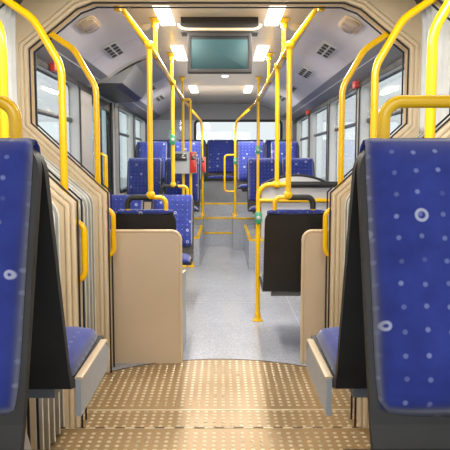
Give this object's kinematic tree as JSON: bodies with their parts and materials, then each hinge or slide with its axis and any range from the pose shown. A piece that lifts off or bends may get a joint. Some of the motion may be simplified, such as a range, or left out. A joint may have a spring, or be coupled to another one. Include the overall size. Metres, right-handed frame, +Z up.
{
  "type": "articulated bus saloon section",
  "caption": "Saloon of an articulated city bus: rear car, turntable gangway with bellows and tail of the fore car, on wheels, with seats, rails, windows and a double door.",
  "frame": {"origin": "on the ground, at the centre of the section's length and width", "axes": "+Y runs rearwards along the bus, +Z up, +X to the street side, the kerb side door is at -X"},
  "size_m": [2.55, 10.2442, 2.9],
  "materials": {
    "body_panel": "satin paint",
    "chassis_black": "satin black paint",
    "rail_yellow": "glossy powder coat",
    "floor_vinyl": "vinyl sheet",
    "tread_plate": "studded plate",
    "bellows_fabric": "coated cloth",
    "cream_trim": "moulded trim",
    "beige_panel": "laminate panel",
    "grey_lining": "moulded lining",
    "seat_fabric": "dotted plush",
    "seat_shell": "grained moulding",
    "seat_frame": "grey paint",
    "glass": "toughened sheet",
    "lamp_diffuser": "opal",
    "monitor_case": "black moulding",
    "ticket_case": "grey moulding",
    "axle_iron": "black painted casting",
    "tail_red": "lens",
    "tyre_rubber": "rubber"
  },
  "bodies": {
    "rear_car": {"rear_floor": "floor_vinyl", "rear_chassis": "chassis_black", "rear_joint_frame": "chassis_black", "rear_portal": "cream_trim", "rear_portal_rails": "rail_yellow", "kerb_wall_front": "body_panel", "kerb_wall_rear": "body_panel", "kerb_door_frame": "body_panel", "street_wall": "body_panel", "kerb_panes": "glass", "street_panes": "glass", "rear_end_wall": "body_panel", "rear_pane": "glass", "rear_roof": "body_panel", "rear_ceiling": "grey_lining", "rear_ceiling_lamps": "lamp_diffuser", "rear_arch_boxes": "grey_lining", "rear_platform": "floor_vinyl", "partitions": "beige_panel", "rear_seat_shells": "seat_shell", "rear_seat_pads": "seat_fabric", "rear_seat_frames": "seat_frame", "rear_seat_grips": "rail_yellow", "rear_handrails": "rail_yellow", "wheelchair_rest": "rail_yellow", "draught_screen": "glass", "ticket_boxes": "ticket_case", "monitor": "monitor_case", "engine_block": "axle_iron", "tail_lamps": "tail_red", "rear_axle": "axle_iron", "rear_bellows": "bellows_fabric"},
    "mid_ring": {"mid_ring": "cream_trim", "mid_ring_rails": "rail_yellow", "turntable_plate": "tread_plate", "plate_carrier": "chassis_black"},
    "fore_car": {"fore_floor": "floor_vinyl", "fore_chassis": "chassis_black", "fore_joint_frame": "chassis_black", "fore_portal": "cream_trim", "fore_handrails": "rail_yellow", "fore_walls": "body_panel", "fore_panes": "glass", "fore_roof": "body_panel", "fore_ceiling": "grey_lining", "fore_arch_boxes": "grey_lining", "fore_seat_shells": "seat_shell", "fore_seat_pads": "seat_fabric", "fore_seat_frames": "seat_frame", "fore_axle": "axle_iron", "fore_bellows": "bellows_fabric"},
    "front_leaf": {"door_leaf_front": "chassis_black", "door_pane_front": "glass"},
    "rear_leaf": {"door_leaf_rear": "chassis_black", "door_pane_rear": "glass"},
    "wheel_fore_kerb": {"wheel_fore_kerb": "tyre_rubber"},
    "wheel_fore_street": {"wheel_fore_street": "tyre_rubber"},
    "wheel_rear_kerb": {"wheel_rear_kerb": "tyre_rubber"},
    "wheel_rear_street": {"wheel_rear_street": "tyre_rubber"}
  },
  "joints": [
    {"name": "gangway_fore", "type": "hinge", "parent": "mid_ring", "child": "fore_car", "pos_m": [0, -2.79215, 0.27], "axis": [0, 0, 1], "range_deg": [-24, 24], "deforming": ["fore_bellows"]},
    {"name": "gangway_rear", "type": "hinge", "parent": "rear_car", "child": "mid_ring", "pos_m": [0, -2.79215, 0.27], "axis": [0, 0, 1], "range_deg": [-24, 24], "deforming": ["rear_bellows"]},
    {"name": "front_leaf_swing", "type": "hinge", "parent": "rear_car", "child": "front_leaf", "pos_m": [-1.225, 0.33585, 0.37], "axis": [0, 0, -1], "range_deg": [0, 88]},
    {"name": "rear_leaf_swing", "type": "hinge", "parent": "rear_car", "child": "rear_leaf", "pos_m": [-1.225, 1.57985, 0.37], "axis": [0, 0, 1], "range_deg": [0, 88]},
    {"name": "fore_kerb_roll", "type": "hinge", "parent": "fore_car", "child": "wheel_fore_kerb", "pos_m": [0, -4.29215, 0.478], "axis": [1, 0, 0], "continuous": true},
    {"name": "fore_street_roll", "type": "hinge", "parent": "fore_car", "child": "wheel_fore_street", "pos_m": [0, -4.29215, 0.478], "axis": [1, 0, 0], "continuous": true},
    {"name": "rear_kerb_roll", "type": "hinge", "parent": "rear_car", "child": "wheel_rear_kerb", "pos_m": [0, 2.60785, 0.478], "axis": [1, 0, 0], "continuous": true},
    {"name": "rear_street_roll", "type": "hinge", "parent": "rear_car", "child": "wheel_rear_street", "pos_m": [0, 2.60785, 0.478], "axis": [1, 0, 0], "continuous": true}
  ],
  "couplings": [
    {"joint": "gangway_rear", "follows": "gangway_fore", "ratio": 1}
  ]
}
